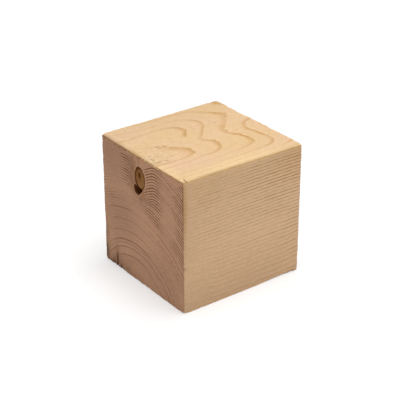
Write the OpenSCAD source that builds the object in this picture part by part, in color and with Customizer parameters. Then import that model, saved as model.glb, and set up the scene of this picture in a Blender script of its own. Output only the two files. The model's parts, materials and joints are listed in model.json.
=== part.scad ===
// Sawn softwood cube, cut from a squared timber, with an encased knot in one end grain face.
// Millimetres, +Z up. The grain runs along X, and the origin is the middle of the base.
// The knotted end faces -X, the front faces -Y.

/* [Block] */
// Length along the grain, from the knotted end to the plain end
block_length = 100; // [80:1:160]
// Width across the grain, from front to back
block_width = 96; // [80:1:160]
// Height from the base to the top face
block_height = 99; // [80:1:160]

/* [Arrises] */
// Wear on the twelve sawn arrises, measured along each face
arris_wear = 0.5; // [0.2:0.1:1.5]
// Depth of the nicks that the saw tore out of the arrises
nick_depth = 0.5; // [0.2:0.1:1.2]
// Radius of the round bottom of each nick
nick_radius = 4; // [2:0.5:8]

/* [Knot] */
// Diameter of the branch wood, square to the branch
knot_diameter = 10; // [5:0.5:14]
// Angle between the branch and the grain
knot_lean = 45; // [0:1:50]
// Height of the top face above the knot's middle
knot_from_top = 16.7; // [14:0.1:30]
// Distance of the knot's middle from the front face
knot_from_front = 49.9; // [30:0.1:60]
// Width of the bark seam round the knot, square to the branch
seam_width = 1.1; // [0.5:0.1:2]
// Depth of the bark seam below the end face
seam_depth = 1.2; // [0.5:0.1:3]
// Depth of the dimple at the knot's own pith
knot_pith_depth = 0.4; // [0.2:0.1:1]
// Height of the knot's own pith above its middle
knot_pith_rise = 2.5; // [0:0.1:3]

/* [Bark pocket] */
// Diameter of the pocket that the lost bark left under the knot
pocket_diameter = 8; // [5:0.5:10]
// Depth of the pocket below the end face
pocket_depth = 6; // [2:0.5:12]
// Drop of the pocket's middle below the knot's lowest point
pocket_drop = 2; // [0:0.1:4]
// Shift of the pocket's middle towards the back
pocket_shift = 2.1; // [0:0.1:3]
// Diameter of the small lobe that follows the knot's side
lobe_diameter = 3.2; // [2:0.1:4]

/* [Drying checks] */
// Distance of each check in the base arris from the back face
base_check_places = [11.5, 15.2, 19.9]; // [5:0.1:40]
// Height of each check above the base
base_check_heights = [3.2, 9.7, 3.6]; // [1:0.1:20]
// Width of the base checks where they open
base_check_width = 1.1; // [0.3:0.1:2]
// Depth of the base checks along the grain
base_check_depth = 4; // [1:0.5:10]
// Width of the fine check between the knot and the top face
fine_check_width = 0.3; // [0.2:0.1:0.8]
// Depth of the fine check along the grain
fine_check_depth = 1.5; // [0.5:0.5:6]

/* [Torn grain] */
// Depth of the scoops torn out of the top face beside the knot
scoop_depth = 0.4; // [0.1:0.1:1]
// Radius of the round bottom of each scoop
scoop_radius = 5; // [2:0.5:10]
// Length along the front arris that the loose splinter at the knotted end takes
splinter_along = 2.4; // [1.5:0.1:6]
// Length of the split that frees the splinter
split_length = 5.5; // [3:0.5:12]
// Width of that split
split_width = 0.5; // [0.2:0.1:1]
// Depth of that split
split_depth = 0.8; // [0.3:0.1:3]

/* [Corner chips] */
// Top front corner at the knotted end, reach along length, width and height
chip_knotted_front_top = [1.6, 1.4, 1.6]; // [1:0.1:12]
// Top back corner at the knotted end
chip_knotted_back_top = [7, 3, 2.2]; // [1:0.1:12]
// Base front corner at the knotted end
chip_knotted_front_base = [3.4, 3, 2.6]; // [1:0.1:12]
// Base back corner at the knotted end
chip_knotted_back_base = [2.5, 3, 2.6]; // [1:0.1:12]
// Top front corner at the plain end
chip_plain_front_top = [2, 4, 1.6]; // [1:0.1:12]
// Top back corner at the plain end
chip_plain_back_top = [4, 3, 1.4]; // [1:0.1:12]
// Base front corner at the plain end
chip_plain_front_base = [9, 3, 1.6]; // [1:0.1:12]
// Base back corner at the plain end
chip_plain_back_base = [2.5, 2.5, 2]; // [1:0.1:12]

/* [Hidden] */
$fn = 48;

pine = [0.86, 0.70, 0.50];
over = 1; // how far a cutter runs past the surface that it opens

// Nicks: the arris's axis, its two sides, and its places as shares of the arris's run.
// A side is -1 for the knotted end, front or base, and 1 for the plain end, back or top.
nick_rows = [
    ["x", -1, -1, [0.34, 0.83]], // front, base
    ["x", -1, 1, [0.19, 0.52, 0.79]], // front, top
    ["x", 1, -1, [0.28, 0.66]], // back, base
    ["x", 1, 1, [0.25, 0.93]], // back, top
    ["y", -1, -1, [0.41]], // knotted end, base
    ["y", -1, 1, [0.17, 0.38, 0.56, 0.86]], // knotted end, top
    ["y", 1, -1, [0.36, 0.74]], // plain end, base
    ["y", 1, 1, [0.11, 0.46, 0.68]], // plain end, top
    ["z", -1, -1, [0.35, 0.62]], // knotted end, front
    ["z", -1, 1, [0.16, 0.48, 0.90]], // knotted end, back
    ["z", 1, -1, [0.08, 0.88]], // plain end, front
    ["z", 1, 1, [0.31, 0.58]], // plain end, back
];

// Scoops in the top face: distance from the knotted end, and from the knot's own line
scoop_rows = [[5.5, -8.1], [2.2, 0.4], [14.5, 10.6], [16.5, 2.2], [3, 9.4], [9, -4.6]];

section_height = knot_diameter / cos(knot_lean); // the knot's height, cut aslant by the end face
knot_y = -block_width / 2 + knot_from_front;
knot_z = block_height - knot_from_top;
seam_top = knot_z + section_height / 2 + seam_width / cos(knot_lean);

// Arrises

// Carries a cutter to an arris. Its X runs along the arris and its Z points out of the wood.
module at_arris(axis, side_a, side_b) {
    if (axis == "x")
        translate([0, side_a * block_width / 2, side_b > 0 ? block_height : 0])
            rotate([-side_a * (side_b > 0 ? 45 : 135), 0, 0]) children();
    if (axis == "y")
        translate([side_a * block_length / 2, 0, side_b > 0 ? block_height : 0])
            rotate([0, side_a * (side_b > 0 ? 45 : 135), 0]) rotate([0, 0, 90]) children();
    if (axis == "z")
        translate([side_a * block_length / 2, side_b * block_width / 2, block_height / 2])
            rotate([0, 0, atan2(side_b, side_a)]) rotate([0, -90, 180]) children();
}

// Run of the arrises along an axis
function arris_run(axis) = axis == "x" ? block_length : axis == "y" ? block_width : block_height;

// A square outline with its four corners worn off
module worn_outline(across, up) {
    w = arris_wear;
    polygon([
        [-across / 2 + w, 0], [across / 2 - w, 0], [across / 2, w], [across / 2, up - w],
        [across / 2 - w, up], [-across / 2 + w, up], [-across / 2, up - w], [-across / 2, w],
    ]);
}

// The squared and crosscut timber, with wear along all twelve arrises
module sawn_block() {
    intersection() {
        rotate([90, 0, 90]) translate([0, 0, -block_length / 2])
            linear_extrude(block_length) worn_outline(block_width, block_height);
        rotate([90, 0, 0]) translate([0, 0, -block_width / 2])
            linear_extrude(block_width) worn_outline(block_length, block_height);
        translate([0, -block_width / 2, 0])
            linear_extrude(block_height) worn_outline(block_length, block_width);
    }
}

// One round-bottomed nick across an arris
module nick() {
    bite = nick_depth + arris_wear / sqrt(2);
    translate([0, 0, nick_radius - bite]) rotate([90, 0, 0])
        cylinder(h = 8 * bite, r = nick_radius, center = true);
}

module nicks() {
    for (row = nick_rows, place = row[3])
        at_arris(row[0], row[1], row[2])
            translate([(place - 0.5) * arris_run(row[0]), 0, 0]) nick();
}

// Cuts a corner off along the plane that meets its three arrises at the given reaches
module corner_chip(end, face, level, reach) {
    slope = [end / reach[0], face / reach[1], level / reach[2]];
    steep = norm(slope);
    size = 3 * max(reach);
    translate([end * block_length / 2, face * block_width / 2, level > 0 ? block_height : 0])
        rotate([0, acos(slope[2] / steep), atan2(slope[1], slope[0])])
            translate([-size, -size, -1 / steep]) cube([2 * size, 2 * size, size]);
}

module corner_chips() {
    corner_chip(-1, -1, 1, chip_knotted_front_top);
    corner_chip(-1, 1, 1, chip_knotted_back_top);
    corner_chip(-1, -1, -1, chip_knotted_front_base);
    corner_chip(-1, 1, -1, chip_knotted_back_base);
    corner_chip(1, -1, 1, chip_plain_front_top);
    corner_chip(1, 1, 1, chip_plain_back_top);
    corner_chip(1, -1, -1, chip_plain_front_base);
    corner_chip(1, 1, -1, chip_plain_back_base);
}

// Knot

// A round bar along the branch, which leans back from the end face, through the knot's middle
module branch_bar(diameter) {
    reach = 2 * (diameter + pocket_depth + seam_depth);
    translate([-block_length / 2, knot_y, knot_z]) rotate([0, 90 + knot_lean, 0])
        cylinder(h = 2 * reach, d = diameter, center = true);
}

// The layer of wood behind the knotted end face, down to a depth
module end_layer(depth) {
    translate([-block_length / 2 - over, -block_width / 2, 0])
        cube([over + depth, block_width, block_height]);
}

// The bark seam: a ring round the branch wood, open at the end face
module bark_seam() {
    intersection() {
        end_layer(seam_depth);
        difference() {
            branch_bar(knot_diameter + 2 * seam_width);
            branch_bar(knot_diameter);
        }
    }
}

// A straight hole into the knotted end face
module end_hole(y, z, diameter, depth) {
    translate([-block_length / 2 - over, y, z]) rotate([0, 90, 0])
        cylinder(h = over + depth, d = diameter);
}

// The pocket under the knot: the branch wood stands clear in it
module bark_pocket() {
    middle = knot_z - section_height / 2 - pocket_drop;
    lobe_y = knot_y + knot_diameter / 2 + seam_width - lobe_diameter / 3;
    difference() {
        union() {
            end_hole(knot_y + pocket_shift, middle, pocket_diameter, pocket_depth);
            end_hole(lobe_y, middle + lobe_diameter / 2, lobe_diameter, pocket_depth / 2);
        }
        branch_bar(knot_diameter);
    }
}

// The shallow dimple at the knot's pith
module knot_pith() {
    dimple = 1.2;
    translate([-block_length / 2 - dimple + knot_pith_depth, knot_y, knot_z + knot_pith_rise])
        sphere(r = dimple);
}

// Drying checks

// One check that opens at the base arris and closes at its height
module base_check(from_back, height) {
    translate([-block_length / 2 - over, block_width / 2 - from_back, 0])
        rotate([90, 0, 90]) linear_extrude(over + base_check_depth)
            polygon([
                [-base_check_width / 2, -over], [base_check_width / 2, -over],
                [base_check_width / 2, 0], [0, height], [-base_check_width / 2, 0],
            ]);
}

module base_checks() {
    for (i = [0 : len(base_check_places) - 1])
        base_check(base_check_places[i], base_check_heights[i]);
}

// The fine check that follows a ray from the knot up to the top face
module fine_check() {
    start = seam_top - seam_width;
    translate([-block_length / 2 - over, knot_y - fine_check_width / 2, start])
        cube([over + fine_check_depth, fine_check_width, block_height - start + over]);
}

// Torn grain

// Shallow scoops in the top face, over the wood that turns round the knot
module scoops() {
    for (row = scoop_rows)
        translate([-block_length / 2 + row[0], knot_y + row[1],
            block_height + scoop_radius - scoop_depth])
            sphere(r = scoop_radius);
}

// The split behind the splinter at the top front corner of the knotted end
module splinter_split() {
    translate([-block_length / 2 + splinter_along, -block_width / 2 - over,
        block_height - split_depth])
        rotate([0, 0, -28])
            cube([split_width, over + split_length, split_depth + over]);
}

// The whole cube is one piece of wood
module wooden_cube() {
    color(pine)
        difference() {
            sawn_block();
            nicks();
            corner_chips();
            bark_seam();
            bark_pocket();
            knot_pith();
            base_checks();
            fine_check();
            scoops();
            splinter_split();
        }
}

wooden_cube();
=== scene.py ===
# A rough-sawn softwood cube, with an encased knot in one end grain face.
# Metres, +Z up. The grain runs along X, and the knotted end faces -X.
import json
import math
import bmesh
import bpy
import numpy as np
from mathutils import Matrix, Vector, noise

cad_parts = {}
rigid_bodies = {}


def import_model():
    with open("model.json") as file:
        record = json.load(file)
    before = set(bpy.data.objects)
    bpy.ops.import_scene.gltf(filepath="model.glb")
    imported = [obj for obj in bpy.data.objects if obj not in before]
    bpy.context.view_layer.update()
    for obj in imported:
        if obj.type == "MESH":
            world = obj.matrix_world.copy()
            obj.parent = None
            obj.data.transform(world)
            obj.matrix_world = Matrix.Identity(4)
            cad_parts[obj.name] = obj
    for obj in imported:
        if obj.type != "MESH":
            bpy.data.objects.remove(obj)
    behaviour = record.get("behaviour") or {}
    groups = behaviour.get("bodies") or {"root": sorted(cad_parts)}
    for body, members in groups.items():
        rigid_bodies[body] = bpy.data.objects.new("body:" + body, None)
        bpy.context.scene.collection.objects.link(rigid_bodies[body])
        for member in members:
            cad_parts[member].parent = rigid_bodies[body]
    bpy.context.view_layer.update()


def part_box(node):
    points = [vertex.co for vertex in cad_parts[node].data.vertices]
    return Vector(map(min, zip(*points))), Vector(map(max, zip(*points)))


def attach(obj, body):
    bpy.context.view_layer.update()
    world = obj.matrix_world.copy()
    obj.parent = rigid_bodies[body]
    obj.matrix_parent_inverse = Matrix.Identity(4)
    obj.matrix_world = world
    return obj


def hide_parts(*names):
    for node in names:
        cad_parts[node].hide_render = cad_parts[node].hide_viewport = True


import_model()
boxLow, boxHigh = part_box("wooden_cube")
boxSize = boxHigh - boxLow
boxMiddle = (boxLow + boxHigh) / 2
mm = 0.001
tau = 2 * math.pi

# ---- nodes, in a shader tree or in a geometry tree ----


def put(socket, value):  # links the socket, or sets its value
    if isinstance(value, bpy.types.NodeSocket):
        socket.id_data.links.new(value, socket)
    elif value is not None:
        socket.default_value = value


def addNode(tree, kind, values=(), **settings):  # values in the sockets' order, or by their names
    node = tree.nodes.new(kind)
    for name, setting in settings.items():
        setattr(node, name, setting)
    if isinstance(values, dict):
        for name, value in values.items():
            put(node.inputs[name], value)
    else:
        for socket, value in zip(node.inputs, values):
            put(socket, value)
    return node


def follow(kind, values, **settings):  # a node in the same tree as the sockets among its values
    given = values.values() if isinstance(values, dict) else values
    tree = next(value.id_data for value in given if isinstance(value, bpy.types.NodeSocket))
    return addNode(tree, kind, values, **settings)


def maths(operation, *values):
    return follow("ShaderNodeMath", values, operation=operation).outputs[0]


def vectors(operation, *values):
    if operation == "SCALE":
        values = (values[0], None, None, values[1])
    node = follow("ShaderNodeVectorMath", values, operation=operation)
    return node.outputs["Value" if operation in ("DOT_PRODUCT", "LENGTH", "DISTANCE") else "Vector"]


def parts(vector):
    return tuple(follow("ShaderNodeSeparateXYZ", [vector]).outputs)


def joined(x, y, z):
    return follow("ShaderNodeCombineXYZ", [x, y, z]).outputs[0]


def chain(operation, made, *values):
    for value in values:
        made = maths(operation, made, value)
    return made


def total(*values):
    return chain("ADD", *values)


def product(*values):
    return chain("MULTIPLY", *values)


def minus(first, second):
    return maths("SUBTRACT", first, second)


def opposite(value):  # 1 where the value is 0, and 0 where it is 1
    return minus(1.0, value)


def larger(first, second):
    return maths("MAXIMUM", first, second)


def ramp(value, low, high, start=0.0, end=1.0, smooth=True):
    kind = "SMOOTHSTEP" if smooth else "LINEAR"
    values = [value, low, high, start, end]
    return follow("ShaderNodeMapRange", values, interpolation_type=kind).outputs[0]


def cloud(vector, scale, detail=2.0, roughness=0.5, stretch=None, seed=0.0):
    if stretch:
        vector = vectors("MULTIPLY", vector, stretch)
    values = dict(Vector=vector, W=seed, Scale=scale, Detail=detail, Roughness=roughness)
    return follow("ShaderNodeTexNoise", values, noise_dimensions="4D").outputs[0]


def patches(vector, scale, low, high, start=0.0, end=1.0, smooth=True, **more):  # a cloud with clear edges
    return ramp(cloud(vector, scale, **more), low, high, start, end, smooth)


def bell(value, middle, width, power=2.0):  # 1 at the middle, fading to both sides
    away = maths("ABSOLUTE", maths("DIVIDE", minus(value, middle), width))
    return maths("EXPONENT", product(maths("POWER", away, power), -1.0))


def farness(position, middle, reach):  # distance in reaches, both given in millimetres
    away = vectors("SUBTRACT", position, tuple(m * mm for m in middle))
    return vectors("LENGTH", vectors("DIVIDE", away, tuple(r * mm for r in reach)))


def addSpots(position, spots, power):  # the strongest of several soft spots: more power, harder rims
    made = 0.0
    for middle, reach, strength in spots:
        away = farness(position, middle, reach)
        made = larger(made, product(bell(away, 0.0, 1.0, power), strength))
    return made


# ---- how the tree grew: distance of a point from the pith, counted in growth rings ----

growth = dict(
    pithY=9.33 * mm,
    pithZ=-23.66 * mm,
    spread=1.0018,
    ringWidth=2.085 * mm,
    firstRing=83.3 * mm,
    taper=0.0024,
    crown=dict(slope=0.0492, y=14.93 * mm, drift=-0.018, width=35.5 * mm, power=4.64),
    lobes=[  # the wood swells on both sides of the knot
        dict(
            lift=4.21 * mm, y=2.0 * mm, drift=0.327, bend=1.72, width=19.0 * mm, widen=0.0, power=3.5,
            reach=88.6 * mm),
        dict(
            lift=6.66 * mm, y=-2.86 * mm, drift=0.162, bend=-2.53, width=20.3 * mm, widen=0.054, power=3.5,
            reach=64.6 * mm),
    ],
    lobeLevel=(60.9 * mm, 72.7 * mm),
    valley=dict(slope=0.009, y=-0.37 * mm, drift=-0.024, width=9.3 * mm),
    dip=dict(depth=17.9 * mm, run=27.2 * mm, rest=0.23 * mm, y=-0.09 * mm, drift=0.161, width=16.0 * mm),
    dipLevel=(61.2 * mm, 73.2 * mm),
    pull=dict(depth=3.4 * mm, run=8.0 * mm, y=7.0 * mm, width=7.5 * mm),  # steeper beside the knot
    ripples=[  # lift, place and reach, in millimetres
        (0.5, (-16, 5), (7, 4.5)),
        (-0.9, (-31, 2), (5, 4)),
        (-0.5, (25.5, -15), (7, 10)),
        (0.4, (5.5, -15), (6, 8)),
        (0.25, (1.5, 1), (5, 4)),
        (0.25, (41, -26), (6, 9)),
        (-0.15, (13, 20), (8, 8)),
        (-0.4, (-28, -18), (8, 4)),
        (-0.15, (-2, 23), (6, 6)),
        (0.15, (-14.5, -12), (3, 3)),
        (0.45, (-25, 4.5), (3.5, 2.8)),
        (0.25, (43.5, 20.5), (4, 3)),
        (-0.22, (29, 13), (6, 6)),
        (-0.05, (40.5, 27), (3, 2.5)),
        (-0.12, (-16.5, -7.5), (3, 3)),
    ],
)


def addGrowth(position):
    x, y, z = parts(position)
    along = minus(x, boxLow.x)
    square = product(along, along)
    offY = minus(y, growth["pithY"])
    offZ = minus(z, growth["pithZ"])
    radius = maths("SQRT", total(product(offY, offY), product(offZ, offZ)))
    high = ramp(z, *growth["lobeLevel"])

    def middleOf(form, *bend):  # drifts sideways along the grain
        return total(product(along, form["drift"]), *bend, form["y"])

    def nearEnd(form):  # fades from the knotted end inwards
        return maths("EXPONENT", maths("DIVIDE", along, -form["run"]))

    crown = growth["crown"]
    slope = product(bell(y, middleOf(crown), crown["width"], crown["power"]), crown["slope"])
    cone = product(along, total(slope, growth["taper"]))
    made = total(product(radius, growth["spread"]), cone)
    for lobe in growth["lobes"]:
        middle = middleOf(lobe, product(square, lobe["bend"]))
        width = total(product(along, lobe["widen"]), lobe["width"])
        fade = opposite(maths("DIVIDE", along, lobe["reach"]))
        swell = product(bell(y, middle, width, lobe["power"]), fade, high, lobe["lift"])
        made = minus(made, swell)
    valley, dip, pull = growth["valley"], growth["dip"], growth["pull"]
    sunk = product(bell(y, middleOf(valley), valley["width"]), along, high, valley["slope"])
    made = total(made, sunk)
    depth = total(product(nearEnd(dip), dip["depth"]), dip["rest"])
    sunk = product(depth, bell(y, middleOf(dip), dip["width"]), ramp(z, *growth["dipLevel"]))
    steep = product(nearEnd(pull), bell(y, pull["y"], pull["width"]), high, pull["depth"])
    made = total(made, sunk, steep)
    level = joined(x, y, 0.0)
    for lift, middle, reach in growth["ripples"]:
        away = farness(level, (*middle, 0), (*reach, 1))
        made = total(made, product(bell(away, 0.0, 1.0), high, lift * mm))
    return made


def addRing(distance, width, start):  # place within a ring, 0 to 1, and the ring's number
    count = maths("DIVIDE", minus(distance, start), width)
    number = maths("FLOOR", count)
    return minus(count, number), number


def addLatewood(share, early, late, fall=(0.965, 1.0)):  # rises through the ring, and ends at once
    return product(ramp(share, early, late), ramp(share, *fall, 1.0, 0.0))


# ---- trees, pieces and meshes ----


def newTree(kind, name, inputs, outputs):  # sockets as name, kind and value
    tree = bpy.data.node_groups.new(name, kind)
    for side, sockets in (("INPUT", inputs), ("OUTPUT", outputs)):
        for label, socketKind, *value in sockets:
            socket = tree.interface.new_socket(label, in_out=side, socket_type="NodeSocket" + socketKind)
            if value:
                socket.default_value = value[0]
    return tree, tree.nodes.new("NodeGroupInput").outputs, tree.nodes.new("NodeGroupOutput").inputs


def finishTree(tree, geometry, given, result):
    real = follow("GeometryNodeRealizeInstances", [geometry]).outputs[0]
    coat = follow("GeometryNodeSetMaterial", dict(Geometry=real, Material=given["Material"]))
    put(result[0], coat.outputs[0])
    return tree


def runTree(piece, tree, values):  # the tree's result takes the place of the piece's mesh
    modifier = piece.modifiers.new(tree.name, "NODES")
    modifier.node_group = tree
    for item in tree.interface.items_tree:
        if item.in_out == "INPUT" and item.name in values:
            modifier[item.identifier] = values[item.name]
    settle(piece)


def settle(piece):  # applies what modifies the piece, as one plain mesh
    depsgraph = bpy.context.evaluated_depsgraph_get()
    made = bpy.data.meshes.new_from_object(
        piece.evaluated_get(depsgraph), preserve_all_data_layers=True, depsgraph=depsgraph)
    piece.modifiers.clear()
    old = piece.data
    piece.data = made
    bpy.data.meshes.remove(old)


def place(name, data):
    piece = bpy.data.objects.new(name, data)
    bpy.context.scene.collection.objects.link(piece)
    return piece


def meshOf(name, points, faces, outward=False):
    mesh = bpy.data.meshes.new(name)
    mesh.from_pydata([tuple(p) for p in points], [], [tuple(f) for f in faces])
    if outward:
        work = bmesh.new()
        work.from_mesh(mesh)
        bmesh.ops.recalc_face_normals(work, faces=work.faces)
        work.to_mesh(mesh)
        work.free()
    mesh.update()
    return mesh


# ---- the block ----

block = dict(
    steps=(2.0 * mm, 1.0 * mm, 0.66 * mm),
    fine=[  # from, to and step, in millimetres
        [(-50, -22, 0.7)],
        [(-14, 16, 0.55)],
        [],
    ],
    arrisStep=0.36 * mm,
    arrisBand=2.4 * mm,
    arrisCuts=[(1.4 * mm, 2), (0.5 * mm, 1)],  # an edge longer than this beside an arris, and its cuts
    wear=0.38 * mm,  # usual radius of a worn arris
    tear=1.35 * mm,  # radius where the saw tore it
    slow=dict(scale=95.0),  # how the wear changes along an arris
    quick=dict(scale=330.0, roughness=0.6),
    sound=[  # where the arrises stayed crisp: middle, reach and strength
        ((-50, 48, 62), (6, 6, 44), 0.75),
        ((-50, 48, 12), (6, 6, 14), 0.45),
        ((50, -48, 50), (6, 6, 50), 0.45),
        ((-20, 48, 99), (34, 6, 6), 0.40),
        ((0, -48, 0), (36, 6, 6), 0.70),
    ],
    dents=[  # middle, reach and added radius along an arris
        ((33, -48, 0), (13, 4, 4), 1.5),
        ((-50, 48, 30), (4, 4, 9), 0.6),
        ((-50, -48, 34.6), (2, 2, 0.9), 1.3),
        ((-50, -48, 26.5), (2, 2, 0.7), 0.7),
        ((-50, -48, 20.8), (2, 2, 0.8), 0.8),
        ((44, -48, 0), (2.5, 3, 3), 1.2),
        ((50, 20, 99), (4, 5, 4), 0.8),
        ((-50, -6, 99), (3, 5, 3), 0.9),
        ((-50, -16, 99), (3, 3, 3), 0.8),
    ],
    waviness=0.10 * mm,
    waveScale=38.0,
    ringRelief=0.10 * mm,
    tornDepth=0.35 * mm,
    scoops=dict(scale=260.0, low=0.55, high=0.66, stretch=(0.5, 1.0, 1.0)),  # in the torn grain
    scoopsFrom=(10 * mm, 28 * mm),  # from the knotted end, fading out between these
    seed=2.0,
    chipRoughness=dict(scale=300.0, detail=3.0, low=0.2, high=0.8, start=-0.4 * mm, end=0.4 * mm),
    chips=[  # side along length, width and height, with the reach of the lost corner along each
        ((-1, -1, 1), (1.6, 1.4, 1.6)),
        ((-1, 1, 1), (3.6, 2.0, 1.1)),
        ((-1, -1, -1), (3.4, 3.0, 2.6)),
        ((-1, 1, -1), (2.2, 2.0, 1.8)),
        ((1, -1, 1), (2.0, 4.0, 1.6)),
        ((1, 1, 1), (1.8, 1.5, 0.8)),
        ((1, -1, -1), (2.0, 1.5, 0.8)),
        ((1, 1, -1), (2.5, 2.5, 2.0)),
    ],
)


def gradedLine(axis):  # finer beside both arrises, and in the stretch where the knot is
    low, high = boxLow[axis], boxHigh[axis]
    line = [low]
    while line[-1] < high - 0.001 * mm:
        here = line[-1]
        size = block["steps"][axis]
        for start, end, fine in block["fine"][axis]:
            if start * mm <= here < end * mm:
                size = fine * mm
        if min(here - low, high - here) < block["arrisBand"]:
            size = block["arrisStep"]
        line.append(here + size)
    line = np.array(line)
    return low + (line - low) * (high - low) / (line[-1] - low)


def gridBox(name):
    lines = [gradedLine(axis) for axis in range(3)]
    counts = [len(line) for line in lines]
    cells = []
    for axis in range(3):
        first, second = (axis + 1) % 3, (axis + 2) % 3
        a, b = np.meshgrid(np.arange(counts[first] - 1), np.arange(counts[second] - 1), indexing="ij")
        for end in (0, counts[axis] - 1):
            corners = []
            for stepA, stepB in ((0, 0), (1, 0), (1, 1), (0, 1)):
                index = np.zeros(a.shape + (3,), int)
                index[..., axis] = end
                index[..., first] = a + stepA
                index[..., second] = b + stepB
                corners.append(index @ np.array([1, counts[0], counts[0] * counts[1]]))
            if end == 0:
                corners.reverse()
            cells.append(np.stack(corners, -1).reshape(-1, 4))
    keys, faces = np.unique(np.concatenate(cells), return_inverse=True)
    steps = (keys % counts[0], keys // counts[0] % counts[1], keys // (counts[0] * counts[1]))
    points = np.stack([line[step] for line, step in zip(lines, steps)], -1)
    return meshOf(name, points, faces.reshape(-1, 4))


def refineArrises(mesh):  # shorter steps along the arrises, where they are torn
    work = bmesh.new()
    work.from_mesh(mesh)

    def nearArris(vertex):
        away = sorted(min(vertex.co[i] - boxLow[i], boxHigh[i] - vertex.co[i]) for i in range(3))
        return away[1] < block["arrisBand"] + 0.01 * mm

    near = {vertex for vertex in work.verts if nearArris(vertex)}
    for longer, cuts in block["arrisCuts"]:
        chosen = [edge for edge in work.edges if edge.calc_length() > longer and near.issuperset(edge.verts)]
        bmesh.ops.subdivide_edges(work, edges=chosen, cuts=cuts, use_grid_fill=True)
    work.to_mesh(mesh)
    work.free()
    return mesh


def blockTree():
    tree, given, result = newTree("GeometryNodeTree", "sawn block", [
        ("Geometry", "Geometry"), ("Wear", "Float"), ("Tear", "Float"), ("Waviness", "Float"),
        ("Ring relief", "Float"), ("Torn depth", "Float"), ("Seed", "Float"), ("Material", "Material"),
    ], [("Geometry", "Geometry")])
    position = addNode(tree, "GeometryNodeInputPosition").outputs[0]
    half = boxSize / 2
    seed = given["Seed"]
    local = vectors("SUBTRACT", position, boxMiddle)

    # the wear on the arrises: a rounding whose radius changes along them
    slow = cloud(position, seed=seed, **block["slow"])
    quick = cloud(position, seed=total(seed, 3.0), **block["quick"])
    crisp = opposite(addSpots(position, block["sound"], 6.0))
    torn = product(ramp(slow, 0.42, 0.64, 0.10, 1.0), ramp(quick, 0.42, 0.62), crisp)
    usual = product(given["Wear"], ramp(quick, 0.3, 0.7, 0.5, 1.5))
    extra = product(torn, minus(given["Tear"], given["Wear"]))
    dents = product(addSpots(position, block["dents"], 3.0), mm)
    radius = total(usual, extra, dents)
    inner = vectors("SUBTRACT", half, joined(radius, radius, radius))
    core = vectors("MINIMUM", vectors("MAXIMUM", local, vectors("SCALE", inner, -1.0)), inner)
    outward = vectors("NORMALIZE", vectors("SUBTRACT", local, core))
    shaped = vectors("ADD", core, vectors("SCALE", outward, radius))

    # the corners that broke off, each along a plane with a torn surface
    rough = patches(position, seed=total(seed, 5.0), **block["chipRoughness"])
    for sides, reach in block["chips"]:
        slopes = Vector([side / (r * mm) for side, r in zip(sides, reach)])
        corner = Vector([side * h for side, h in zip(sides, half)])
        facing = slopes.normalized()
        level = slopes.dot(corner) / slopes.length - 1 / slopes.length
        over = minus(vectors("DOT_PRODUCT", shaped, facing), level)
        over = larger(total(over, rough), 0.0)
        far = vectors("DISTANCE", local, corner)
        over = product(over, ramp(far, max(reach) * mm, 1.6 * max(reach) * mm, 1.0, 0.0))
        shaped = vectors("SUBTRACT", shaped, vectors("SCALE", facing, over))

    # relief of the sawn faces
    waves = product(given["Waviness"], cloud(position, block["waveScale"], seed=seed))
    share = addRing(addGrowth(position), growth["ringWidth"], growth["firstRing"])[0]
    early = opposite(addLatewood(share, 0.35, 0.9))
    relief = product(given["Ring relief"], early)
    x, y, z = parts(local)
    low, high = block["scoopsFrom"]
    beside = product(
        ramp(x, low - half.x, high - half.x, 1.0, 0.0), bell(y, 1 * mm, 12 * mm),
        ramp(z, half.z - 1 * mm, half.z - 0.3 * mm))
    torn = product(given["Torn depth"], beside, patches(position, seed=seed, **block["scoops"]))
    shaped = vectors("SUBTRACT", shaped, vectors("SCALE", outward, total(waves, relief, torn)))

    moved = dict(Geometry=given["Geometry"], Position=vectors("ADD", shaped, boxMiddle))
    return finishTree(tree, follow("GeometryNodeSetPosition", moved).outputs[0], given, result)


# ---- the knot: a branch that leans back through the end face ----

knot = dict(
    y=1.9 * mm,
    z=82.3 * mm,
    radius=4.88 * mm,
    lean=math.radians(45),
    seam=1.20 * mm,
    depth=9 * mm,
    pith=(0.6 * mm, 1.8 * mm),  # from the knot's middle, square to the branch
    splits=[(0.5, 0.75), (2.4, 0.6), (3.9, 0.8), (5.3, 0.55)],  # angle and reach of its small cracks
    face=dict(  # depths below the end grain: everywhere, at the pith, at the rim, in its rings and cracks
        least=0.02 * mm, usual=0.12 * mm, pith=0.35 * mm, pithWidth=1.0 * mm, rim=0.30 * mm, rimFrom=0.86,
        ring=0.05 * mm, ringWidth=0.8 * mm, rough=0.10 * mm, split=0.30 * mm, splitWidth=0.16 * mm),
    waves=[(2, 0.020, 0.6), (3, 0.018, 2.1), (5, 0.012, 0.4), (9, 0.006, 1.0)],
    seamWaves=[(1, 0.015, 1.2), (2, 0.02, 0.2), (4, 0.014, 2.6), (7, 0.010, 0.9)],
)
branchIn = Vector((math.sin(knot["lean"]), 0, -math.cos(knot["lean"])))  # into the wood
knotMiddle = Vector((boxLow.x, knot["y"], knot["z"]))


def turns(count):  # angles all the way round
    return [tau * i / count for i in range(count)]


def wavy(radius, angle, waves):
    return radius * (1 + sum(size * math.sin(count * angle + turn) for count, size, turn in waves))


def onFace(across, up, depth=0.0):  # a point given square to the branch, slid along it to the end face
    return knotMiddle + Vector((depth, across, up / math.cos(knot["lean"])))


def roundKnot(radius, angle, depth=0.0):
    return onFace(radius * math.cos(angle), radius * math.sin(angle), depth)


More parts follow.
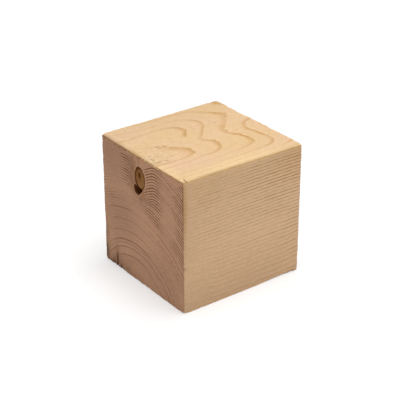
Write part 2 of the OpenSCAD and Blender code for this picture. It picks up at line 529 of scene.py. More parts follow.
def closedTube(name, sections, ends=None):  # sections of equal length, capped at both ends
    count = len(sections[0])
    last = (len(sections) - 1) * count
    points = [point for section in sections for point in section]
    points += ends or [sum(map(Vector, section), Vector()) / count for section in (sections[0], sections[-1])]
    faces = []
    for i in range(count):
        j = (i + 1) % count
        for row in range(0, last, count):
            faces.append((row + i, row + j, row + count + j, row + count + i))
        faces += [(len(points) - 2, j, i), (len(points) - 1, last + i, last + j)]
    return meshOf(name, points, faces, outward=True)


def knotSocket():
    sections = []
    for slide in (-4 * mm, 3 * mm, 6 * mm, knot["depth"]):
        sections.append([
            roundKnot(wavy(knot["radius"] + knot["seam"], angle, knot["seamWaves"]), angle) + branchIn * slide
            for angle in turns(96)])
    return closedTube("knotSocket", sections)


def recess(a, b, share):  # how far the knot's face lies below the end grain
    face, (pithA, pithB) = knot["face"], knot["pith"]
    fromPith = math.hypot(a - pithA, b - pithB)
    made = face["usual"] + face["pith"] * math.exp(-((fromPith / face["pithWidth"]) ** 2))
    made += face["rim"] * max(0.0, (share - face["rimFrom"]) / (1 - face["rimFrom"])) ** 2
    made += face["ring"] * math.sin(tau * fromPith / face["ringWidth"])
    made += face["rough"] * noise.noise(Vector((a, b, 0)) * 900)
    around = math.atan2(b - pithB, a - pithA)
    for turn, reach in knot["splits"]:
        away = abs((around - turn + math.pi) % tau - math.pi) * fromPith
        if fromPith < reach * knot["radius"]:
            made += face["split"] * math.exp(-((away / face["splitWidth"]) ** 2))
    return max(made, face["least"])


def knotPlug():
    spokes, rows = turns(120), 30
    sections = []
    for row in range(1, rows + 1):
        section = []
        for angle in spokes:
            r = row / rows * wavy(knot["radius"], angle, knot["waves"])
            section.append(roundKnot(r, angle, recess(r * math.cos(angle), r * math.sin(angle), row / rows)))
        sections.append(section)
    for slide in (0.6, 1.5, 3.0, 5.0, 7.0, knot["depth"] / mm):
        section = []
        for angle in spokes:
            r = wavy(knot["radius"], angle, knot["waves"]) * (1 - 0.006 * slide)
            r += 0.05 * mm * noise.noise(Vector((math.cos(angle) * 3, math.sin(angle) * 3, slide)))
            section.append(roundKnot(r, angle) + branchIn * slide * mm)
        sections.append(section)
    ends = [onFace(0.0, 0.0, recess(0, 0, 0)), knotMiddle + branchIn * knot["depth"]]
    return closedTube("knotWood", sections, ends)


bark = dict(
    rows=7,
    rise=0.10 * mm,  # depth of its face below the end grain
    rough=0.30 * mm,
    depth=8.4 * mm,
    missing=(math.radians(252), math.radians(335)),  # between these angles it fell out
    sunk=6.0 * mm,  # and lies this much deeper
)


def barkRing():
    spokes, rows = turns(168), bark["rows"]
    low, high = bark["missing"]
    points, faces = [], []
    for angle in spokes:
        inner = wavy(knot["radius"], angle, knot["waves"]) + 0.01 * mm
        outer = wavy(knot["radius"] + knot["seam"], angle, knot["seamWaves"]) - 0.01 * mm
        inside = min(angle - low, high - angle) / math.radians(14)
        gone = min(1.0, max(0.0, inside + 0.5))
        for k in range(rows):
            share = k / (rows - 1)
            bump = noise.noise(Vector((math.cos(angle) * 9, math.sin(angle) * 9, share * 2.5)))
            depth = bark["rise"] + bark["rough"] * (0.5 + bump) + gone * bark["sunk"]
            depth += 0.25 * mm * (2 * share - 1) ** 2
            point = roundKnot(inner + share * (outer - inner), angle)
            points.append(point + branchIn * depth / math.sin(knot["lean"]))
        points += [roundKnot(r, angle) + branchIn * bark["depth"] for r in (outer, inner)]
    size = rows + 2
    for i in range(len(spokes)):
        j = (i + 1) % len(spokes)
        for k in range(size):
            m = (k + 1) % size
            faces.append((i * size + k, j * size + k, j * size + m, i * size + m))
    return meshOf("knotBark", points, faces, outward=True)


# ---- what is cut out of the block: the knot's socket, a pocket and cracks ----

pocket = dict(
    outline=[  # (y, z) round the hole in the end grain, in millimetres
        (9.1, 74.9), (7.9, 76.3), (6.2, 75.9), (3.4, 75.0), (0.8, 74.6), (-0.8, 73.9),
        (0.6, 72.2), (2.5, 70.3), (4.2, 69.1), (6.4, 69.2), (8.4, 70.6), (9.2, 72.7),
    ],
    narrowing=[(-0.4, 1.0), (0.0, 1.0), (0.25, 0.96), (0.6, 0.86), (0.85, 0.66), (1.0, 0.35)],  # depth and width
    depth=6.5 * mm,
)


def smoothLoop(corners, steps):  # a closed curve through the corners
    corners = [Vector(corner) for corner in corners]
    made = []
    for i in range(len(corners)):
        a, b, c, d = (corners[(i + k) % len(corners)] for k in (-1, 0, 1, 2))
        for n in range(steps):
            t = n / steps
            made.append(b + 0.5 * t * (c - a + t * (2 * a - 5 * b + 4 * c - d + t * (3 * (b - c) + d - a))))
    return made


def pocketCutter():
    loop = smoothLoop(pocket["outline"], 6)
    middle = sum(loop, Vector((0, 0))) / len(loop)
    sections = []
    for share, narrow in pocket["narrowing"]:
        section = []
        for i, point in enumerate(loop):
            rough = 1 + 0.05 * noise.noise(Vector((i * 0.6, share * 4, 2.0)))
            y, z = middle + (point - middle) * narrow * rough
            section.append((boxLow.x + share * pocket["depth"], y * mm, z * mm))
        sections.append(section)
    return closedTube("pocket", sections)


checks = dict(
    base=[  # distance from the back face, height, width at the base
        (11.2, 3.6, 1.9), (14.9, 12.0, 2.3), (19.9, 4.2, 1.6),
    ],
    depth=4.0 * mm,
    fine=dict(y=2.9 * mm, width=0.30 * mm, depth=0.45 * mm),
    split=dict(start=(3.0, -0.9), end=(5.0, 6.3), bend=1.1, width=0.56 * mm, depth=0.8 * mm),
)


def grooveCutter(name, steps, outward):  # an open crack: a thin wedge along steps of point, width and depth
    path = [Vector(point) for point, width, depth in steps]
    sections = []
    for i, point in enumerate(path):
        width, depth = steps[i][1:]
        ahead = (path[min(i + 1, len(path) - 1)] - path[max(i - 1, 0)]).normalized()
        side = ahead.cross(outward).normalized() * width / 2
        lift, waist = outward * 1.0 * mm, outward * depth * 0.4
        sections.append([
            point + side + lift, point - side + lift, point - side * 0.8 - waist, point - outward * depth,
            point + side * 0.8 - waist])
    return closedTube(name, sections)


def wander(seed, i):  # a small sideways shift, the same in each run
    return noise.noise(Vector((seed * 7.3, i * 0.37, 0.5)))


def crackCutters():
    made = []
    end, up = Vector((-1, 0, 0)), Vector((0, 0, 1))
    for n, (fromBack, height, width) in enumerate(checks["base"]):
        steps = []
        for i in range(13):
            share = i / 12
            y = boxHigh.y - fromBack * mm + 0.5 * mm * wander(n, i) * share
            steps.append((
                (boxLow.x, y, -0.6 * mm + share * (height + 0.6) * mm),
                width * mm * (1 - share) ** 0.7 + 0.02 * mm,
                checks["depth"] * (1 - share) ** 0.6 + 0.15 * mm))
        made.append(grooveCutter("baseCheck%d" % n, steps, end))
    fine = checks["fine"]
    steps = []
    for i in range(15):
        y = fine["y"] + 0.5 * mm * wander(9, i)
        z = knot["z"] + 8.2 * mm + i / 14 * 10 * mm
        steps.append(((boxLow.x, y, z), fine["width"] * (0.6 + 0.5 * abs(wander(11, i))), fine["depth"]))
    made.append(grooveCutter("fineCheck", steps, end))
    split = checks["split"]
    (startX, startY), (endX, endY) = split["start"], split["end"]
    steps = []
    for i in range(11):
        share = i / 10
        x = startX + share * (endX - startX) - split["bend"] * math.sin(share * math.pi)
        y = startY + share * (endY - startY)
        steps.append((
            (boxLow.x + x * mm, boxLow.y + y * mm, boxHigh.z),
            split["width"] * (1.0 - share**3) + 0.03 * mm,
            split["depth"] * (1.0 - share**3) + 0.1 * mm))
    made.append(grooveCutter("cornerSplit", steps, up))
    return made


def cutOut(piece, meshes, material):
    tools = bpy.data.collections.new("cutters")
    bpy.context.scene.collection.children.link(tools)
    for mesh in meshes:
        mesh.materials.append(material)
        tools.objects.link(bpy.data.objects.new(mesh.name, mesh))
    modifier = piece.modifiers.new("cracks and socket", "BOOLEAN")
    modifier.operand_type = "COLLECTION"
    modifier.collection = tools
    modifier.operation = "DIFFERENCE"
    modifier.solver = "EXACT"
    modifier.material_mode = "TRANSFER"
    settle(piece)
    for cutter in list(tools.objects):
        bpy.data.objects.remove(cutter)
    bpy.data.collections.remove(tools)
    partSeams(piece.data)


def partSeams(mesh):  # where a cut leaves four triangles on one edge, two of them get edges of their own
    work = bmesh.new()
    work.from_mesh(mesh)
    source = work.faces.layers.int.new("source")
    for face in work.faces:
        face[source] = face.index
    bmesh.ops.triangulate(work, faces=work.faces, quad_method="FIXED")
    for edge in [edge for edge in work.edges if len(edge.link_faces) > 2]:
        owners = [face[source] for face in edge.link_faces]
        pair = [face for face in edge.link_faces if owners.count(face[source]) > 1]
        ends = list(edge.verts)
        middle = work.verts.new((ends[0].co + ends[1].co) / 2)
        for face in sorted(pair, key=lambda face: face[source])[:2]:
            for end in ends:
                work.faces.new([middle if corner is end else corner for corner in face.verts], face)
            work.faces.remove(face)
    work.faces.layers.int.remove(source)
    work.to_mesh(mesh)
    work.free()


# ---- saw fuzz: loose fibres along the arrises and over the torn grain ----

fuzz = dict(
    spread=1.1 * mm,  # how far from an arris the fibres stand
    density=1.6e6,  # fibres per square metre beside an arris
    patches=dict(scale=160.0, low=0.42, high=0.62, seed=8.0),
    chipDensity=2.2e5,  # and over the torn grain
    clumps=dict(scale=300.0, low=0.5, high=0.62, seed=21.0),
    length=1.3 * mm,
    thickness=0.085 * mm,
    lean=(2.4, 0.8, 0.8),  # how far a fibre is thrown over, along and across the grain
    sizes=(0.35, 1.0),
    pressed=0.05,  # share of what stands out that ends up inside
    seed=4,
    tornGrain=[  # beside the knot, on the face above it
        ((-44, -9, 99), (11, 9, 3), 1.0),
        ((-46, 7, 99), (14, 9, 3), 0.4),
        ((-30, 3, 99), (12, 6, 3), 0.5),
    ],
)


def fuzzTree():
    tree, given, result = newTree("GeometryNodeTree", "saw fuzz", [
        ("Geometry", "Geometry"), ("Density", "Float"), ("Chip density", "Float"), ("Spread", "Float"),
        ("Length", "Float"), ("Thickness", "Float"), ("Seed", "Int"), ("Material", "Material"),
    ], [("Geometry", "Geometry")])
    position = addNode(tree, "GeometryNodeInputPosition").outputs[0]

    # where they stand: the second smallest distance to a face is the distance to the nearest arris
    local = vectors("ABSOLUTE", vectors("SUBTRACT", position, boxMiddle))
    a, b, c = parts(vectors("SUBTRACT", boxSize / 2, local))
    least = maths("MINIMUM", maths("MINIMUM", a, b), c)
    most = larger(larger(a, b), c)
    second = minus(total(a, b, c), total(least, most))
    near = ramp(maths("DIVIDE", second, given["Spread"]), 0.2, 1.0, 1.0, 0.0)
    wanted = product(given["Density"], patches(position, **fuzz["patches"]), near)
    beside = addSpots(position, fuzz["tornGrain"], 4.0)
    clumps = patches(position, **fuzz["clumps"])
    wanted = total(wanted, product(given["Chip density"], beside, clumps))
    scatter = follow("GeometryNodeDistributePointsOnFaces", {
        "Mesh": given["Geometry"], "Density": wanted, "Seed": given["Seed"]}).outputs

    # one fibre: a thin cone, thrown over mostly along the grain
    fibre = follow("GeometryNodeMeshCone", {
        "Vertices": 3, "Side Segments": 3, "Radius Top": 0.0,
        "Radius Bottom": given["Thickness"], "Depth": given["Length"]}).outputs["Mesh"]
    lowLean, highLean = (tuple(side * lean for lean in fuzz["lean"]) for side in (-1, 1))
    chance = addNode(tree, "FunctionNodeRandomValue", [lowLean, highLean], data_type="FLOAT_VECTOR")
    put(chance.inputs["Seed"], given["Seed"])
    aim = vectors("ADD", scatter["Normal"], chance.outputs[0])
    aim = follow("FunctionNodeAlignRotationToVector", dict(Vector=aim), axis="Z").outputs[0]
    size = addNode(tree, "FunctionNodeRandomValue", [None, None, *fuzz["sizes"]], data_type="FLOAT").outputs[1]
    plant = follow("GeometryNodeInstanceOnPoints", dict(
        Points=scatter["Points"], Instance=fibre, Rotation=aim, Scale=size)).outputs[0]
    real = follow("GeometryNodeRealizeInstances", [plant]).outputs[0]

    # what stands out of the cube's own box is pressed back to it
    kept = vectors("MAXIMUM", vectors("MINIMUM", position, boxHigh), boxLow)
    pressed = vectors("SCALE", vectors("SUBTRACT", position, kept), fuzz["pressed"])
    moved = dict(Geometry=real, Position=vectors("SUBTRACT", kept, pressed))
    return finishTree(tree, follow("GeometryNodeSetPosition", moved).outputs[0], given, result)


# ---- materials ----


def useGroup(group, **values):
    return follow("ShaderNodeGroup", values, node_tree=group).outputs


def blend(share, first, second, kind="MIX"):  # colours
    pair = [value if isinstance(value, bpy.types.NodeSocket) else (*value, 1.0) for value in (first, second)]
    values = [share, None, None, None, None, None, *pair]
    return follow("ShaderNodeMix", values, data_type="RGBA", blend_type=kind).outputs[2]


def between(share, first, second):  # numbers
    return follow("ShaderNodeMix", [share, None, first, second], data_type="FLOAT").outputs[0]


def tinted(colour, amount, dark, share=None):  # darkens a colour, less where the share is high
    if share:
        dark = blend(share, dark, (1.0, 1.0, 1.0))
    return blend(amount, colour, dark, "MULTIPLY")


def ringsGroup():  # latewood of one growth ring, and a tint that is each ring's own
    tree, given, result = newTree("ShaderNodeTree", "growth rings", [
        ("Distance", "Float", 0.0), ("Width", "Float", 0.002), ("Start", "Float", 0.0),
        ("Early", "Float", 0.5), ("Late", "Float", 0.92),
    ], [(label, "Float") for label in ("Latewood", "Tint", "Place", "Ridge", "Other")])
    early, late = given["Early"], given["Late"]
    share, number = addRing(given["Distance"], given["Width"], given["Start"])
    dice = follow("ShaderNodeTexWhiteNoise", dict(W=total(number, 0.5)), noise_dimensions="1D")
    put(result["Latewood"], addLatewood(share, early, late))
    put(result["Tint"], dice.outputs["Value"])
    put(result["Place"], share)
    put(result["Other"], maths("FLOORED_MODULO", number, 2.0))
    put(result["Ridge"], larger(ramp(share, early, late), ramp(share, 0.0, 0.3, 1.0, 0.0)))
    return tree


fibreKinds = [  # name, scale, detail, roughness, squeeze along the grain, seed
    ("Streak", 2200.0, 3.0, 0.6, 0.08, 1.0),
    ("Fleck", 1300.0, 2.0, 0.6, 0.4, 2.0),
    ("Nap", 640.0, 3.0, 0.65, 0.45, 4.0),
    ("Patch", 42.0, 3.0, 0.55, 0.45, 3.0),
]


def fibresGroup():
    tree, given, result = newTree("ShaderNodeTree", "wood fibres", [
        ("Vector", "Vector"), ("Scale", "Float", 1.0),
    ], [(kind[0], "Float") for kind in fibreKinds])
    vector = vectors("SCALE", given["Vector"], given["Scale"])
    for label, scale, detail, roughness, squeeze, seed in fibreKinds:
        put(result[label], patches(
            vector, scale, 0.28, 0.72, smooth=False, detail=detail, roughness=roughness,
            stretch=(squeeze, 1.0, 1.0), seed=seed))
    return tree


def newMaterial(name):
    material = bpy.data.materials.new(name)
    material.use_nodes = True
    tree = material.node_tree
    position = addNode(tree, "ShaderNodeTexCoord").outputs["Object"]
    return material, tree.nodes["Principled BSDF"].inputs, position


def finishMaterial(shader, colour, roughness, gloss=0.5):
    put(shader["Base Color"], colour)
    put(shader["Roughness"], roughness)
    put(shader["Specular IOR Level"], gloss)


def addBump(shader, height):  # height in metres
    put(shader["Normal"], follow("ShaderNodeBump", dict(Distance=1.0, Height=height)).outputs[0])


pine = dict(
    flatEarly=(0.895, 0.645, 0.345),
    flatPale=(0.885, 0.620, 0.415),
    flatLate=(0.600, 0.300, 0.065),
    flatLight=(0.985, 0.735, 0.420),
    quarterEarly=(0.885, 0.598, 0.365),
    quarterLight=(0.960, 0.665, 0.420),
    quarterLate=(0.400, 0.200, 0.068),
    endEarly=(0.745, 0.428, 0.272),
    endLate=(0.200, 0.082, 0.028),
    # dark brown of the stains, and of painted shade at the base, round the base checks and in two nicks
    dirtAndShade=(0.070, 0.030, 0.009),
    # olive: painted shade along the back-left arris, with a smear
    olive=(0.120, 0.078, 0.040),
    brown=(0.780, 0.700, 0.560),
    warm=(1.000, 0.930, 0.680),
    shade=(0.0, 0.0, 0.0),
    # torn: painted shade for the hollows of the torn grain
    torn=(0.330, 0.150, 0.040),
    lifted=(0.990, 0.800, 0.520),
    roughness=0.78,
    gloss=0.12,
    profiles=[(0.66, 0.97), (0.87, 0.965), (0.52, 0.80), (0.62, 0.88)],  # broad, sharp, thin and crisp latewood
    lines=dict(broad=0.53, sharp=0.22, falseRing=0.10, quarter=0.63, end=0.92, faint=0.14, otherLess=0.62),
    relief=dict(  # from the side faces to the end grain, where there are two
        ridge=(0.08 * mm, 0.20 * mm), nap=(0.08 * mm, 0.16 * mm), streak=0.05 * mm, fleck=0.06 * mm,
        torn=0.25 * mm, nick=-0.3 * mm),
    fibres=[  # kind, amount on the side faces and on the end grain, and tint
        ("Patch", 0.10, 0.10, (0.70, 0.66, 0.62)),
        ("Streak", 0.14, 0.14, (0.62, 0.52, 0.42)),
        ("Fleck", 0.12, 0.12, (0.60, 0.50, 0.40)),
        ("Nap", 0.24, 0.34, (0.55, 0.45, 0.36)),
    ],
    ringRange=[(0.55, 0.10, 0.50), (1.05, 1.50, 1.15)],  # weakest and strongest: end grain, low and high sides
    pithReach=(-3 * mm, 1 * mm),  # past the first ring: from here inwards only some rings are bold
    pithSide=(-14 * mm, 0.0),
    boldEdges=(1.2, 0.45),  # millimetres over which a bold ring rises and falls
    arrisWarmth=(0.2 * mm, 3.2 * mm),  # below the upper face
    baseWarmth=(0.0, 1.5 * mm),  # above the base
    upperLevel=(58 * mm, 76 * mm),
    lowerLevel=(34 * mm, 58 * mm),
    swayLevel=(30 * mm, 84 * mm),
    sway=dict(
        scale=30.0, detail=1.0, stretch=(1.0, 1.0, 0.4), seed=31.0, low=0.2, high=0.8,
        start=-1.5 * mm, end=1.5 * mm, smooth=False),
    wobble=dict(
        scale=240.0, stretch=(0.35, 1, 1), seed=6.0, low=0.2, high=0.8,
        start=-0.17 * mm, end=0.17 * mm, smooth=False),
    dashes=dict(scale=480.0, stretch=(0.3, 1, 1), seed=7.0, low=0.36, high=0.6, start=0.50, end=1.1),
    breaks=dict(scale=110.0, stretch=(0.3, 1, 1), seed=9.0, low=0.38, high=0.58, start=0.6),
    splinters=dict(  # the upper face's wood hangs over the end grain in splinters
        scale=430.0, detail=3.0, roughness=0.65, stretch=(1, 1, 0.45), seed=18.0, low=0.42, high=0.68,
        start=0.3 * mm, end=2.6 * mm),
    # painted shade in the hollows of the torn grain
    shadedHollows=dict(scale=640.0, detail=3.0, roughness=0.7, stretch=(0.5, 1.0, 1.0), seed=12.0, low=0.57, high=0.63),
    chips=dict(scale=600.0, detail=3.0, roughness=0.7, stretch=(0.4, 1.0, 1.0), seed=15.0, low=0.55, high=0.61),
    # painted shade in small nicks below the arris of the end grain
    nicks=dict(scale=520.0, roughness=0.6, seed=25.0, low=0.56, high=0.66),
    quiet=[  # where the latewood hardly shows: middle, reach and strength
        ((-37, 18, 99), (29, 11, 5), 1.0),
        ((-48, -4, 99), (23, 11, 4), 1.0),
        ((-42, 7, 99), (9, 4, 4), 1.0),
        ((-22.5, 9, 99), (7, 4.2, 4), 1.0),
        ((-13, 6.5, 99), (8.5, 5.5, 4), 0.94),
        ((-44, -38, 99), (72, 14, 5), 0.72),
        ((34, -46, 99), (44, 7, 5), 0.75),
        ((-22, 41, 99), (62, 14, 5), 0.68),
        ((-60, -48, 12), (100, 0.7, 42), 0.52),
        ((-54, -48, 60), (16, 0.7, 60), 0.80),
        ((-50, 1.9, 82.5), (3, 7.4, 13), 1.0),
        ((-50, 1.0, 95), (3, 7, 6), 0.85),
        ((-50, 38, 84), (3, 16, 24), 0.92),
        ((-50, 28, 64), (3, 24, 10), 0.85),
        ((-50, 5, 54), (3, 9, 12), 0.70),
        ((-50, -29, 78), (3, 9, 22), 0.35),
        ((-50, 47, 34), (3, 10, 36), 0.85),
        ((-50, 18, 4), (3, 40, 10), 0.55),
        ((-50, -8, 4), (3, 18, 8), 0.45),
        ((-50, -28, 8), (3, 20, 18), 0.20),
        ((-50, -30, 61), (3, 9, 17), 0.75),
        ((-50, 44, 20), (3, 14, 9), 0.45),
        ((50, 0, 50), (3, 80, 80), 0.35),
    ],
    clear=[  # where it shows most
        ((-50, -14, 80), (3, 12, 22), 1.0),
        ((-50, 14, 88), (3, 9, 12), 1.0),
        ((-50, -46, 56), (3, 6, 56), 1.0),
        ((-50, -32, 44), (3, 16, 12), 0.6),
        ((-50, -36, 22), (3, 16, 24), 0.9),
        ((48, -48, 84), (44, 4, 24), 1.0),
        ((50, -48, 34), (16, 4, 26), 0.7),
    ],
    calm=[  # where the bands of the upper face are softer
        ((-28, -19, 99), (16, 5, 4), 0.45),
        ((2, 2, 99), (7, 6, 4), 0.55),
        ((14, 20, 99), (10, 14, 4), 0.30),
        ((34, 10, 99), (14, 16, 4), 0.60),
        ((0, -28, 99), (60, 9, 4), 0.55),
    ],
    firm=[  # and where they are stronger
        ((27, -16, 99), (6, 9, 4), 0.45),
    ],
    bold=[  # rings near the pith that show best: distance from it, and strength
        (77.0, 0.50), (68.6, 0.35), (60.1, 0.30), (52.9, 0.85), (50.2, 0.45), (46.9, 0.50), (40.8, 0.75),
        (36.2, 0.35), (26.5, 0.20),
    ],
    spilt=[  # where the splinters hang lowest
        ((-50, -8, 99), (4, 26, 6), 1.0),
        ((-50, 34, 99), (4, 14, 6), 0.3),
    ],
    # stains, with painted shade: a contact shadow along the base of the end grain, darker round the base checks,
    # and dark in two nicks
    stainsAndShade=[
        # the next three: painted shade round the base checks
        ((-50, 32.8, 4), (1.2, 2.0, 11), 0.62),
        ((-50, 36.9, 1.5), (1.2, 2.4, 3.6), 0.8),
        ((-50, 28.1, 1.5), (1.2, 1.8, 3.6), 0.75),
        # painted contact shadow along the base of the end grain
        ((-50, 35, 0.2), (1.2, 12, 2.4), 0.75),
        ((-50, 20.5, 4), (1.2, 5, 3), 0.22),
        ((-50, 1.4, 66.0), (1.2, 2.6, 4.0), 0.25),
        ((-50, 2.5, 77), (1.2, 8.5, 10), 0.12),
        ((24.5, 16.8, 99), (0.8, 0.5, 1), 0.45),
        # the next two: painted shade in nicks
        ((43.5, -48, 0.6), (4, 1.2, 0.8), 0.75),
        ((-49.4, -48, 34.6), (1.3, 0.8, 0.7), 0.6),
    ],
    edgeShadeAndSmear=[  # painted shade along the back-left vertical arris of the end grain: the shadow side of its rounding and its nicks, with a grey-brown smear
        ((-50, 48, 7.5), (3.0, 4.0, 9), 1.0),
        ((-50, 48, 23), (2.5, 4.4, 10), 0.50),
    ],
    browned=[  # round the knot
        ((-50, 9.0, 79), (3, 5.0, 10), 0.80),
        ((-50, -2, 82), (3, 12, 15), 0.18),
        ((-50, 4, 97), (3, 9, 5), 0.35),
        ((-50, -0.6, 72.5), (3, 4.0, 4.5), 0.90),
        ((-50, -47.8, 78), (3, 1.5, 24), 0.90),
    ],
    warmed=[
        ((52, -48, 93), (24, 2, 13), 0.45),
        ((-34, -48, 92), (26, 2, 15), 0.14),
    ],
    strokes=[  # short brown marks on the upper face
        ((-32, -10.5, 99), (5.0, 0.8, 1), 0.30),
        ((-39.5, 26.6, 99), (3.5, 0.6, 1), 0.30),
        ((-35.4, 14.2, 99), (3.0, 0.7, 1), 0.25),
        ((-12, 1.4, 99), (3.5, 0.6, 1), 0.18),
        ((-46, 6.5, 99), (3.0, 0.8, 1), 0.30),
    ],
    pale=[  # along the front of the upper face, and high on the front
        ((-2, -48, 99), (50, 11, 3), 0.9),
        ((-52, -30, 99), (9, 24, 3), 0.7),
        ((22, -48, 58), (58, 3, 30), 0.50),
    ],
    toneAndShade=[  # painted shade under the front arris of the upper face; darker towards the base; elsewhere broad, faint differences of tone
        ((0, 62, 99), (90, 40, 5), 0.10),
        ((38, -48, 99), (13, 5, 3), 0.10),
        ((-50, 30, 46), (3, 28, 24), 0.24),
        ((-50, 38, 88), (3, 28, 24), 0.27),
        ((-50, -4, 20), (3, 50, 16), 0.10),
        ((-50, -30, 58), (3, 14, 26), 0.05),
        ((-50, 34, 2), (3, 36, 17), 0.22),
        ((-20, -48, 0), (90, 3, 26), 0.15),
        ((-50, -48, 50), (12, 3, 70), 0.06),
        ((52, -48, 97), (40, 3, 12), 0.06),
        # painted shadow line under the front arris of the upper face
        ((0, -48, 99), (60, 1.8, 1.3), 0.12),
        ((-50, 48, 99), (18, 16, 3), 0.06),
        # painted shadow line under the front arris of the upper face
        ((-27, -48, 99), (13, 2.4, 1.3), 0.20),
        ((-34, -48, 92), (26, 2, 15), 0.04),
    ],
)


def sawnPine(rings, fibres):
    material, shader, position = newMaterial("sawnPine")
    x, y, z = parts(position)
    grain = useGroup(fibres, Vector=position)
    width, start = growth["ringWidth"], growth["firstRing"]
    lines, relief = pine["lines"], pine["relief"]

    def spots(name, power=2.0):
        return addSpots(position, pine[name], power)

    def mottle(name):
        return patches(position, **pine[name])

    # the growth rings, each with a strength of its own that changes along it
    distance = total(addGrowth(position), mottle("wobble"))
    distance = total(distance, product(mottle("sway"), ramp(z, *pine["swayLevel"], 1.0, 0.0)))
    broad, sharp, thin, crisp = (
        useGroup(rings, Distance=distance, Width=width, Start=start, Early=early, Late=late)
        for early, late in pine["profiles"])
    fromEnd = minus(boxSize.x / 2, maths("ABSOLUTE", x))
    ends = ramp(fromEnd, 0.3 * mm, 0.6 * mm, 1.0, 0.0)
    upper = ramp(z, *pine["upperLevel"])
    weakest, strongest = (
        between(ends, atEnd, between(upper, atFoot, atTop)) for atEnd, atFoot, atTop in pine["ringRange"])
    each = ramp(broad["Tint"], 0.15, 1.0, weakest, strongest, smooth=False)
    lower = ramp(z, *pine["lowerLevel"], 1.0, 0.0)
    each = product(each, opposite(product(broad["Other"], lower, lines["otherLess"])))
    dashes, breaks = mottle("dashes"), mottle("breaks")
    quiet = opposite(spots("quiet", 6.0))
    uneven = product(each, dashes, breaks, between(ends, 0.8, 1.15))
    firmer = ramp(product(dashes, each), 0.1, 0.9, 0.5, 1.5)
    uneven = between(spots("clear", 3.0), uneven, firmer)

    # near the pith only some rings are bold
    low, high = pine["pithReach"]
    inner = product(
        ramp(distance, start + low, start + high, 1.0, 0.0), ramp(y, *pine["pithSide"], 0.15, 1.0))
    bold = 0.0
    before, after = pine["boldEdges"]
    for reach, weight in pine["bold"]:
        rise = ramp(distance, (reach - before) * mm, reach * mm)
        fall = ramp(distance, reach * mm, (reach + after) * mm, 1.0, 0.0)
        bold = larger(bold, product(rise, fall, weight))
    bold = product(bold, ramp(dashes, 0.3, 1.0, 0.75, 1.0))
    bold = total(bold, product(thin["Latewood"], each, lines["faint"]))
    endLines = product(between(inner, product(thin["Latewood"], uneven), bold), quiet)
    strength = product(between(inner, uneven, 0.5), quiet)

    # end grain at both ends, flat-sawn faces above and below, quarter-sawn faces between them
    ragged = product(minus(grain["Fleck"], 0.5), 0.5 * mm)
    endGrain = ramp(total(fromEnd, ragged), 0.2 * mm, 0.6 * mm, 1.0, 0.0)
    below = minus(boxHigh.z, z)
    spill = ramp(spots("spilt", 4.0), 0.0, 1.0, 0.15, 1.0, smooth=False)
    spill = product(mottle("splinters"), spill)
    endGrain = product(endGrain, ramp(below, spill, total(spill, 0.4 * mm)))
    fromMiddle = maths("ABSOLUTE", minus(z, boxMiddle.z))
    edge = boxSize.z / 2
    flat = ramp(total(fromMiddle, ragged), edge - 0.6 * mm, edge - 0.25 * mm)

    # the colour of the three, and how dark the rings are in each
    within = broad["Place"]
    falseRing = product(
        ramp(within, 0.22, 0.34), ramp(within, 0.36, 0.44, 1.0, 0.0), breaks, lines["falseRing"])
    band = total(
        product(broad["Latewood"], lines["broad"]), product(sharp["Latewood"], lines["sharp"]),
        falseRing)
    calm, firm = opposite(spots("calm")), total(1.0, spots("firm"))
    steady = ramp(product(each, breaks), 0.3, 0.9, 0.8, 1.15)
    pale = spots("pale", 3.0)
    flatWood = blend(grain["Patch"], pine["flatEarly"], pine["flatPale"])
    flatWood = blend(pale, flatWood, pine["flatLight"])
    flatWood = blend(product(band, product(quiet, calm, firm, steady)), flatWood, pine["flatLate"])
    quarterWood = blend(pale, pine["quarterEarly"], pine["quarterLight"])
    quarterLines = product(crisp["Latewood"], strength, lines["quarter"])
    quarterWood = blend(quarterLines, quarterWood, pine["quarterLate"])
    endWood = blend(product(endLines, lines["end"]), pine["endEarly"], pine["endLate"])
    colour = blend(endGrain, blend(flat, quarterWood, flatWood), endWood)

    # fibres, warmer arrises and short marks
    for label, sideAmount, endAmount, dark in pine["fibres"]:
        colour = tinted(colour, between(endGrain, sideAmount, endAmount), dark, grain[label])
    colour = tinted(colour, spots("browned"), pine["brown"])
    nearArris = larger(
        ramp(below, *pine["arrisWarmth"], 1.0, 0.0), ramp(z, *pine["baseWarmth"], 0.5, 0.0))
    warmed = larger(product(nearArris, opposite(flat)), spots("warmed"))
    colour = tinted(colour, warmed, pine["warm"])
    colour = blend(spots("strokes"), colour, pine["flatLate"])

    # torn grain beside the knot: small hollows with painted shade and lifted pale chips, with painted shade in
    # nicks below the arris
    beside = addSpots(position, fuzz["tornGrain"], 4.0)
    shadedHollows, chips = mottle("shadedHollows"), mottle("chips")
    colour = blend(product(beside, shadedHollows, 0.8), colour, pine["torn"])
    colour = blend(product(beside, chips, 0.8), colour, pine["lifted"])
    nicks = product(
        mottle("nicks"), endGrain, ramp(below, 0.4 * mm, 1.0 * mm),
        ramp(below, 2.0 * mm, 3.4 * mm, 1.0, 0.0))
    colour = blend(product(nicks, 0.7), colour, pine["endLate"])

    # painted shade and broad tone, stains with painted shade, and painted shade along an edge
    colour = tinted(colour, spots("toneAndShade"), pine["shade"])
    # stains, with painted shade at the base, round the checks and in the nicks
    stainAndShade = product(spots("stainsAndShade", 1.6), ramp(grain["Fleck"], 0.0, 0.6, 0.55, 1.0))
    colour = blend(stainAndShade, colour, pine["dirtAndShade"])
    # painted shade along the back-left vertical arris, with a grey-brown smear
    old = product(spots("edgeShadeAndSmear", 2.5), ramp(grain["Nap"], 0.0, 0.6, 0.6, 1.0))
    colour = blend(old, colour, pine["olive"])
    finishMaterial(shader, colour, pine["roughness"], pine["gloss"])

